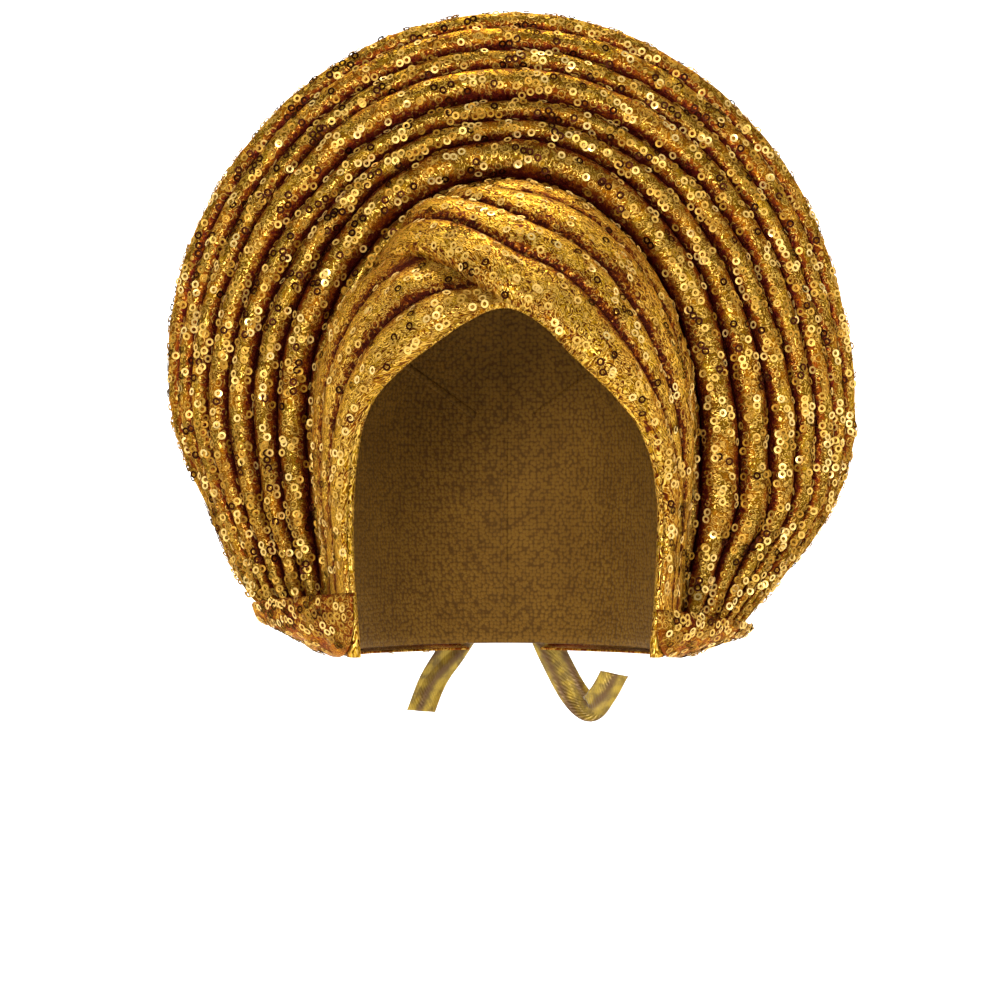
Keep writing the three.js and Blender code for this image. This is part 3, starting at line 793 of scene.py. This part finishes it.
def sequin_cloth(name, stretch, gold, contrast, groove, shade):
    """Metal-thread net over satin. Painted shade darkens the grooves and turns their banks amber, and the
    crests keep the gold.

    stretch draws the threads out along the cloth, gold is how much of the satin is the paler one,
    contrast is how strongly the threads show, groove is how far its painted shade climbs the banks, and
    shade is the colour painted in the grooves.
    """
    finish = Finish(name, Specular_IOR_Level=0.2, Specular_Tint=(0.9, 0.5, 0.1))
    at = finish.place()
    crest = finish.attribute("crest")
    patches = finish.noise(at, 9, detail=3)
    warmth = finish.noise(at, 15, detail=2)
    grain = finish.noise(at, 1.8, detail=3, curl=0.8)
    # Painted light with a ragged edge: where it is low, painted shade falls.
    ragged_light = crest + (patches - 0.5) * 0.4 + (grain - 0.5) * 1.1
    dark, bright = curled_threads(finish, finish.place(stretch, "UV"), THREAD_CURL)
    bands = finish.noise(finish.place((stretch[0] * 3, stretch[1], 1), "UV"), 5, detail=2)
    dark = dark * (0.55 + 0.45 * finish.fade(bands, 0.42, 0.56))
    rings, ring_shadows = ghost_rings(finish, at)
    satin = finish.mix(SATIN_OLIVE, SATIN_GOLD, finish.fade(patches, 0.6 - gold, 0.8 - gold))
    satin = finish.mix(satin, SATIN_ORANGE, finish.fade(warmth, 0.5, 0.62) * 0.7)
    # Painted shade turns the banks of the grooves amber.
    cloth = finish.mix(satin, AMBER_BANK_SHADE, 1 - finish.fade(ragged_light, groove + 0.1, groove + 0.5))
    cloth = finish.mix(cloth, THREAD_AND_SHADOW_BROWN, dark * contrast)
    # Painted shadow round the faint rings.
    cloth = finish.mix(cloth, THREAD_AND_SHADOW_BROWN, ring_shadows * 0.6)
    # The bright threads fade out in the painted shade.
    threads_in_light = finish.fade(ragged_light, groove, groove + 0.5) * contrast * 0.85
    cloth = finish.mix(cloth, THREAD_BRIGHT, bright * threads_in_light)
    cloth = finish.mix(cloth, THREAD_BRIGHT, rings * 0.4)
    # Painted shade fills the grooves.
    cloth = finish.mix(shade, cloth, finish.fade(ragged_light, groove - 0.06, groove + 0.14))
    finish.set(
        Base_Color=cloth,
        Metallic=0.75 + 0.2 * finish.fade(bright + rings * 0.5, 0.2, 1.0),
        Roughness=0.5 - 0.18 * bright,
        Normal=finish.bump(bright * 0.6 - dark * 0.5 + rings * 0.5 + grain, 0.35),
    )
    return finish.material


def sequin_finish():
    """Ring sequins: each has its own tone, from nearly black brown, painted as a reflection of dark
    surroundings, over olive to pale gold.
    """
    finish = Finish("sequins", Specular_Tint=(1.0, 0.75, 0.35))
    tone = finish.attribute("tone")
    finish.set(
        Base_Color=finish.ramp(tone, SEQUIN_TONES_AND_REFLECTIONS),
        Metallic=0.95 - 0.4 * finish.fade(tone, 0.14, 0.18),
        Roughness=0.5 - 0.25 * finish.fade(tone, 0.9, 0.94),
    )
    return finish.material


def cap_finish():
    """A dull brown-gold jersey, pebbled by its stitches."""
    finish = Finish("cap_knit", Metallic=0.15, Roughness=0.75, Specular_Tint=(1.0, 0.7, 0.3))
    at = finish.place()
    cells = {"Vector": at, "Scale": 1 / STITCH_SIZE, "Randomness": 0.6}
    stitches = finish.node("TexVoronoi", {"feature": "F1"}, cells)
    fuzz = finish.noise(at, 0.7, detail=3)
    tone = finish.noise(at, 16, detail=3)
    knit = finish.mix(KNIT_BROWN, KNIT_GOLD, tone * 0.7 + fuzz * 0.4)
    knit = finish.mix(knit, KNIT_GAP, finish.fade(stitches, 0.35, 0.75) * 0.7)
    finish.set(Base_Color=knit, Normal=finish.bump(fuzz * 0.5 - stitches, 0.5))
    return finish.material


def tie_finish():
    """Olive-gold satin, with a fine weave across the band."""
    finish = Finish("tie_satin", Metallic=0.35, Roughness=0.38, Sheen_Weight=0.2)
    threads = {"Vector": finish.place(source="UV"), "Scale": 0.4, "Distortion": 0.6}
    weave = finish.node("TexWave", {"wave_type": "BANDS", "bands_direction": "DIAGONAL"}, threads)
    patches = finish.noise(finish.place(), 5, detail=3)
    satin = finish.mix(TIE_OLIVE, TIE_GOLD, finish.fade(patches, 0.35, 0.65))
    # Painted shade darkens the troughs of the folds.
    satin = finish.mix(TIE_FOLD_SHADE, satin, finish.fade(finish.attribute("crest"), 0.1, 0.6))
    finish.set(Base_Color=satin, Normal=finish.bump(weave + patches * 0.5, 0.15))
    return finish.material


def stage_finish():
    return Finish("white_paper", Base_Color=PAPER_WHITE, Roughness=0.9, Specular_IOR_Level=0.2).material


def keep(mesh_maker, name, material):
    """Turns a bmesh into an object of the scene with one material."""
    mesh = bpy.data.meshes.new(name)
    mesh_maker.to_mesh(mesh)
    mesh_maker.free()
    mesh.materials.append(material)
    mesh.shade_smooth()
    piece = bpy.data.objects.new(name, mesh)
    bpy.context.scene.collection.objects.link(piece)
    return piece


def sew(piece, node):
    """Lets a piece ride with the head tie, in place of its plain solid."""
    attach(piece, "root")
    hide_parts(node)
    return piece


def cloth_mesh(surface, u_steps, v_steps, size, closed=False):
    """A sheet of cloth from a grid, placed by its surface. size is its length and width for its weave."""
    made = bmesh.new()
    bmesh.ops.create_grid(made, x_segments=u_steps, y_segments=v_steps, size=0.5)
    # Each surface also gives a painted light value per point: 1 where the cloth keeps its own colour, lower
    # where painted shade darkens it.
    crest = made.verts.layers.float.new("crest")
    weave = made.loops.layers.uv.new("UVMap")
    shares = {}
    for vert in made.verts:
        u, v = clamp(vert.co.x + 0.5), clamp(vert.co.y + 0.5)
        shares[vert.index] = (u, v)
        point, vert[crest] = surface(u, v)
        vert.co = point * MM
    for face in made.faces:
        for loop in face.loops:
            u, v = shares[loop.vert.index]
            loop[weave].uv = (u * size[0] * MM, v * size[1] * MM)
    if closed:
        bmesh.ops.remove_doubles(made, verts=made.verts, dist=1e-6)
    return made


def cloth_piece(name, surface, steps, size, thickness, material, closed=False):
    made = cloth_mesh(surface, *steps, size, closed)
    made.normal_update()
    piece = keep(made, name, material)
    wall = piece.modifiers.new("cloth", "SOLIDIFY")
    wall.thickness = thickness * MM
    wall.offset = -1
    return piece


def facing_point(surface, u, v):
    """A point of a surface, its normal, and how many millimetres a share of u is there."""
    step = 2e-3
    at_u, at_v = min(max(u, step), 1 - step), min(max(v, step), 1 - step)
    along_u = surface(at_u + step, at_v)[0] - surface(at_u - step, at_v)[0]
    along_v = surface(at_u, at_v + step)[0] - surface(at_u, at_v - step)[0]
    return surface(at_u, at_v)[0], along_u.cross(along_v).normalized(), along_u.length / (2 * step)


class Spangles:
    """The ring sequins of one piece of cloth, gathered until they are made into one mesh."""

    def __init__(self, seed, dullest=0.2, dark_reflection_share=lambda u: DARK_REFLECTION_SHARE):
        self.chance = random.Random(seed)
        self.dullest = dullest
        self.dark_reflection_share = dark_reflection_share
        self.places = []
        self.tones = []
        self.tone = 0.5

    def pick_tone(self, u, fresh):
        """Sequins that lie together mostly share their tone."""
        if fresh or self.chance.random() < 0.35:
            # A dark tone is a painted reflection of dark surroundings.
            dark = self.chance.random() < self.dark_reflection_share(u)
            tones = DARK_REFLECTION_TONES if dark else (self.dullest, 1)
            self.tone = self.chance.uniform(*tones)
        return self.tone

    def add(self, surface, u, v, fresh):
        point, facing, _ = facing_point(surface, u, v)
        tilt = math.radians(SEQUIN_TILT) * self.chance.random() ** 0.6
        turn = self.chance.uniform(0, 2 * math.pi)
        lie = facing.to_track_quat("Z", "Y").to_matrix()
        lie = lie @ Matrix.Rotation(turn, 3, "Z") @ Matrix.Rotation(tilt, 3, "X")
        lift = 0.25 + 0.5 * SEQUIN_WIDTH * math.sin(tilt) * 0.7
        self.places.append((np.array(lie), np.array(point + facing * lift)))
        self.tones.append(self.pick_tone(u, fresh))

    def row(self, surface, v, spread, gaps, start=0.0, end=1.0, together=0.45):
        """Sequins along a line of the cloth, some of them touching, the others with wider gaps."""
        u = start
        while True:
            length = facing_point(surface, u, v)[2]
            touching = self.chance.random() < together
            gap = self.chance.uniform(*(TOUCHING_GAP if touching else gaps))
            u += gap / length
            if u > end:
                break
            aside = max(-FARTHEST_ASIDE, min(self.chance.gauss(0, 1), FARTHEST_ASIDE)) * spread
            self.add(surface, u, clamp(v + aside), fresh=not touching)

    def piece(self, name, material, ring):
        corners, faces = ring
        count = len(self.places)
        points = np.concatenate([corners @ lie.T + at for lie, at in self.places]) * MM
        rings = np.concatenate([faces + number * len(corners) for number in range(count)])
        mesh = bpy.data.meshes.new(name)
        mesh.from_pydata(points.tolist(), [], rings.tolist())
        tone = mesh.attributes.new("tone", "FLOAT", "POINT")
        tone.data.foreach_set("value", np.repeat(self.tones, len(corners)))
        mesh.materials.append(material)
        made = bpy.data.objects.new(name, mesh)
        bpy.context.scene.collection.objects.link(made)
        return made


def sequin_ring():
    """The corners and faces of one ring, cupped towards the eye."""
    hole, rim = SEQUIN_HOLE / 2, SEQUIN_WIDTH / 2
    section = [(hole, 0), (rim, SEQUIN_CUP), ((hole + rim) / 2, -SEQUIN_THICKNESS)]
    ring = bmesh.new()
    corners = [ring.verts.new((across, 0, height)) for across, height in section]
    edges = [ring.edges.new((corners[k - 1], corners[k])) for k in range(len(corners))]
    bmesh.ops.spin(ring, geom=corners + edges, axis=(0, 0, 1), angle=2 * math.pi,
                   steps=SEQUIN_SIDES, use_merge=True)
    bmesh.ops.remove_doubles(ring, verts=ring.verts, dist=1e-4)
    bmesh.ops.recalc_face_normals(ring, faces=ring.faces)
    ring.verts.index_update()
    points = np.array([vert.co[:] for vert in ring.verts])
    faces = np.array([[vert.index for vert in face.verts] for face in ring.faces])
    ring.free()
    return points, faces


def fan_dark_reflection_share(u):
    """The share of sequins painted dark as reflections of dark surroundings along the fan, which have
    gathered left of the crown.
    """
    return 0.07 + 0.25 * math.exp(-(((u - 0.38) / 0.26) ** 2))


def fan_sequins(material, ring):
    """Sequins in loose columns along the rolls, in two pieces: the inner rolls and the outer ones."""
    made = []
    count = len(ROLLS)
    half = count // 2
    for name, rolls in (("fan_sequins_inner", range(half)), ("fan_sequins_outer", range(half, count))):
        spangles = Spangles(name, FAN_DULLEST, fan_dark_reflection_share)
        for roll in rolls:
            for lane in FAN_LANES:
                line = (roll + 0.5 + lane) / count
                spangles.row(fan_surface, line, 0.05 / count, (5, 19), 0.015, 0.985)
        made.append(spangles.piece(name, material, ring))
    return made


def wrap_sequins(side, material, ring):
    surface = wrap_surface(side)
    pleats = len(FOLDS[side]) - 1
    spangles = Spangles(f"wrap{side}", WRAP_DULLEST)
    spangles.row(surface, 0.1 / pleats, 0.03 / pleats, (6, 20), 0.1, 0.97)
    for pleat in range(pleats):
        for lane in WRAP_LANES:
            spangles.row(surface, (pleat + lane) / pleats, 0.09 / pleats, (5, 22), 0.08, 0.97, 0.4)
    name = "right_wrap_sequins" if side > 0 else "left_wrap_sequins"
    return spangles.piece(name, material, ring)


def turned(surface):
    """The same surface seen a quarter turn round, so that its rows run across the cloth."""
    return lambda along, across: surface(1 - across, along)


def drape_sequins(material, ring):
    spangles = Spangles("drape")
    across = turned(drape_surface)
    for lane in range(DRAPE_LANES):
        share = (lane + 0.5) / DRAPE_LANES
        spangles.row(across, share, 0.25 / DRAPE_LANES, (8, 22), 0.02, 0.97, 0.35)
    return spangles.piece("drape_sequins", material, ring)


def pocket_sequins(side, material, ring):
    spangles = Spangles(f"pocket{side}")
    across = turned(pocket_surface(side))
    for run in POCKET_LANES:
        gaps = (3, 8) if run < 0.12 else (5, 15)
        spangles.row(across, 1 - run, 0.012, gaps, 0.04, 0.96, 0.6)
    name = "right_pocket_sequins" if side > 0 else "left_pocket_sequins"
    return spangles.piece(name, material, ring)


def make_camera():
    data = bpy.data.cameras.new("camera")
    data.sensor_width = SENSOR_WIDTH
    data.lens = CAMERA_LENS
    camera = bpy.data.objects.new("camera", data)
    camera.location = CAMERA_PLACE
    camera.rotation_euler = (math.radians(90), 0, 0)
    bpy.context.scene.collection.objects.link(camera)
    bpy.context.scene.camera = camera


def make_light(name, place, target, width, power):
    data = bpy.data.lights.new(name, "AREA")
    data.shape = "DISK"
    data.size = width
    data.energy = power
    lamp = bpy.data.objects.new(name, data)
    lamp.location = place
    lamp.rotation_euler = (Vector(target) - Vector(place)).to_track_quat("-Z", "Y").to_euler()
    bpy.context.scene.collection.objects.link(lamp)


def make_studio():
    middle = (0, 0.02, -0.06)
    make_light("key", (-0.45, -1.88, 0.2), middle, 0.55, 27)
    make_light("fill", (1.2, -1.4, 0.0), middle, 0.9, 10)
    make_light("top", (0.1, 0.1, 1.3), middle, 0.9, 1.0)
    make_light("back", (-0.6, 1.6, 0.5), middle, 1.0, 12)
    make_light("wall", (0, 1.0, 1.7), (0, 2.6, -0.1), 1.6, 110)
    world = bpy.data.worlds.new("studio")
    world.use_nodes = True
    world.node_tree.nodes["Background"].inputs["Color"].default_value = (1, 1, 1, 1)
    world.node_tree.nodes["Background"].inputs["Strength"].default_value = 0.4
    bpy.context.scene.world = world
    bpy.context.scene.view_settings.view_transform = "Standard"


def make_stage():
    """A round white floor that rises into a low wall on all sides."""
    floor, radius, corner, top = -1.0, 2.6, 0.9, 2.2
    bend = math.pi / 2 * corner
    whole = radius - corner + bend + top - corner

    def surface(u, v):
        along = whole * (1 - v)
        turn = 2 * math.pi * u
        if along < radius - corner:
            out, up = along, 0
        elif along < radius - corner + bend:
            angle = (along - radius + corner) / corner
            out, up = radius - corner + corner * math.sin(angle), corner * (1 - math.cos(angle))
        else:
            out, up = radius, corner + along - (radius - corner + bend)
        return Vector((out * math.cos(turn), out * math.sin(turn), floor + up)) / MM, 1.0

    made = cloth_mesh(surface, 64, 40, (1, 1), closed=True)
    keep(made, "stage", stage_finish())


def dress():
    fan_cloth = sequin_cloth("fan_cloth", (1, 1, 1), 0.08, 0.66, 0.15, MAROON_GROOVE_SHADE)
    wrap_cloth = sequin_cloth("wrap_cloth", (1.8, 0.9, 1), 0.34, 1.3, 0.15, WINE_GROOVE_SHADE)
    sequins = sequin_finish()
    tie = tie_finish()
    ring = sequin_ring()

    fan = cloth_piece("fan_cloth", fan_surface, (352, 128), (640, 190), FAN_CLOTH, fan_cloth)
    sew(fan, "pleated_fan")
    on_fan = fan_sequins(sequins, ring)
    for piece in on_fan:
        sew(piece, "pleated_fan")

    for side, node, flat in ((1, "right_wrap", (0.27, 0.093)), (-1, "left_wrap", (0.2, 0.07))):
        steps = (200, 64) if side > 0 else (160, 54)
        wrap = cloth_piece(f"{node}_cloth", wrap_surface(side), steps, (300, 90), WRAP_CLOTH, wrap_cloth)
        sew(wrap, node)
        on_wrap = sew(wrap_sequins(side, sequins, ring), node)

    drape = cloth_piece("drape_cloth", drape_surface, (340, 72), (700, 220), DRAPE_CLOTH, fan_cloth)
    sew(drape, "back_drape")
    on_drape = sew(drape_sequins(sequins, ring), "back_drape")

    for side, node in ((-1, "left_under_wrap"), (1, "right_under_wrap")):
        steps, size = (110, 48), (150, 70)
        pocket = cloth_piece(f"{node}_cloth", pocket_surface(side), steps, size, DRAPE_CLOTH, fan_cloth)
        sew(pocket, node)
        on_pocket = sew(pocket_sequins(side, sequins, ring), node)

    knit = cap_finish()
    cap = cloth_piece("cap_knit", cap_surface, (120, 60), (480, 190), CAP_CLOTH, knit, closed=True)
    binding = cloth_piece("cap_binding", binding_surface, (300, 20), (420, 14), BINDING_CLOTH, wrap_cloth)
    trims = [sew(binding, "head_cap")]
    for number, (start, end) in enumerate(WELTS):
        middle = start[0] == 0 or start[1] == 180
        surface = welt_surface(start, end, middle)
        welt = cloth_piece(f"cap_welt_{number}", surface, (90, 8), (190, 4), WELT_CLOTH, knit)
        trims.append(sew(welt, "head_cap"))
    sew(cap, "head_cap")

    for node, route in TAIL_ROUTES.items():
        tail = cloth_piece(f"{node}_cloth", tail_surface(route), (64, 24), (60, 13), TIE_CLOTH, tie)
        sew(tail, node)
        length = sum((b - a).length for a, b in zip(tail_line(route), tail_line(route)[1:])) * MM
    return tie


def knot_body(material):
    """A bundle of folded satin, pinched in the middle."""
    body = bmesh.new()
    bmesh.ops.create_uvsphere(body, u_segments=72, v_segments=36, radius=0.5)
    crest = body.verts.layers.float.new("crest")
    weave = body.loops.layers.uv.new("UVMap")
    centre = knot_centre()
    for vert in body.verts:
        at = vert.co.copy()
        turn = math.atan2(at.y, at.z)
        pinch = 1 - KNOT_PINCH * math.exp(-((at.x / 0.16) ** 2))
        fold = 0.5 + 0.5 * math.cos(KNOT_FOLDS * turn + 6 * abs(at.x) * math.sin(3 * turn))
        crease = 0.9 + 0.1 * fold
        # The folds also give painted light, with painted shade in their troughs.
        vert[crest] = fold
        size = Vector((KNOT_WIDTH * 0.97, KNOT_DEPTH * crease * pinch, KNOT_HEIGHT * crease * pinch))
        vert.co = (centre + Vector((at.x * size.x, at.y * size.y, at.z * size.z))) * MM
    for face in body.faces:
        for loop in face.loops:
            loop[weave].uv = (loop.vert.co.x, loop.vert.co.z)
    return keep(body, "knot_body", material)


def band_surface(u, v):
    """The band, drawn tight round the middle of the knot."""
    turn = 2 * math.pi * u
    fold = 0.5 + 0.5 * math.cos(2 * math.pi * BAND_FOLDS * v)
    lift = 0.5 * fold + 0.25 * math.sin(2 * turn + 5 * v)
    aside = (v - 0.5) * (BAND_WIDTH + 2.5 * math.cos(turn) ** 2)
    deep, high = KNOT_DEPTH / 2 * BAND_SEAT + lift, KNOT_HEIGHT / 2 * BAND_SEAT + lift
    # The last value is painted light, with painted shade in the troughs of the band's folds.
    return knot_centre() + Vector((aside, deep * math.cos(turn), high * math.sin(turn))), fold


def make_knot(material):
    knot = knot_body(material)
    band = cloth_piece("knot_band", band_surface, (80, 24), (64, 11), TIE_CLOTH, material, closed=True)
    for piece in (knot, band):
        sew(piece, "tie_knot")


make_camera()
make_studio()
make_stage()
make_knot(dress())
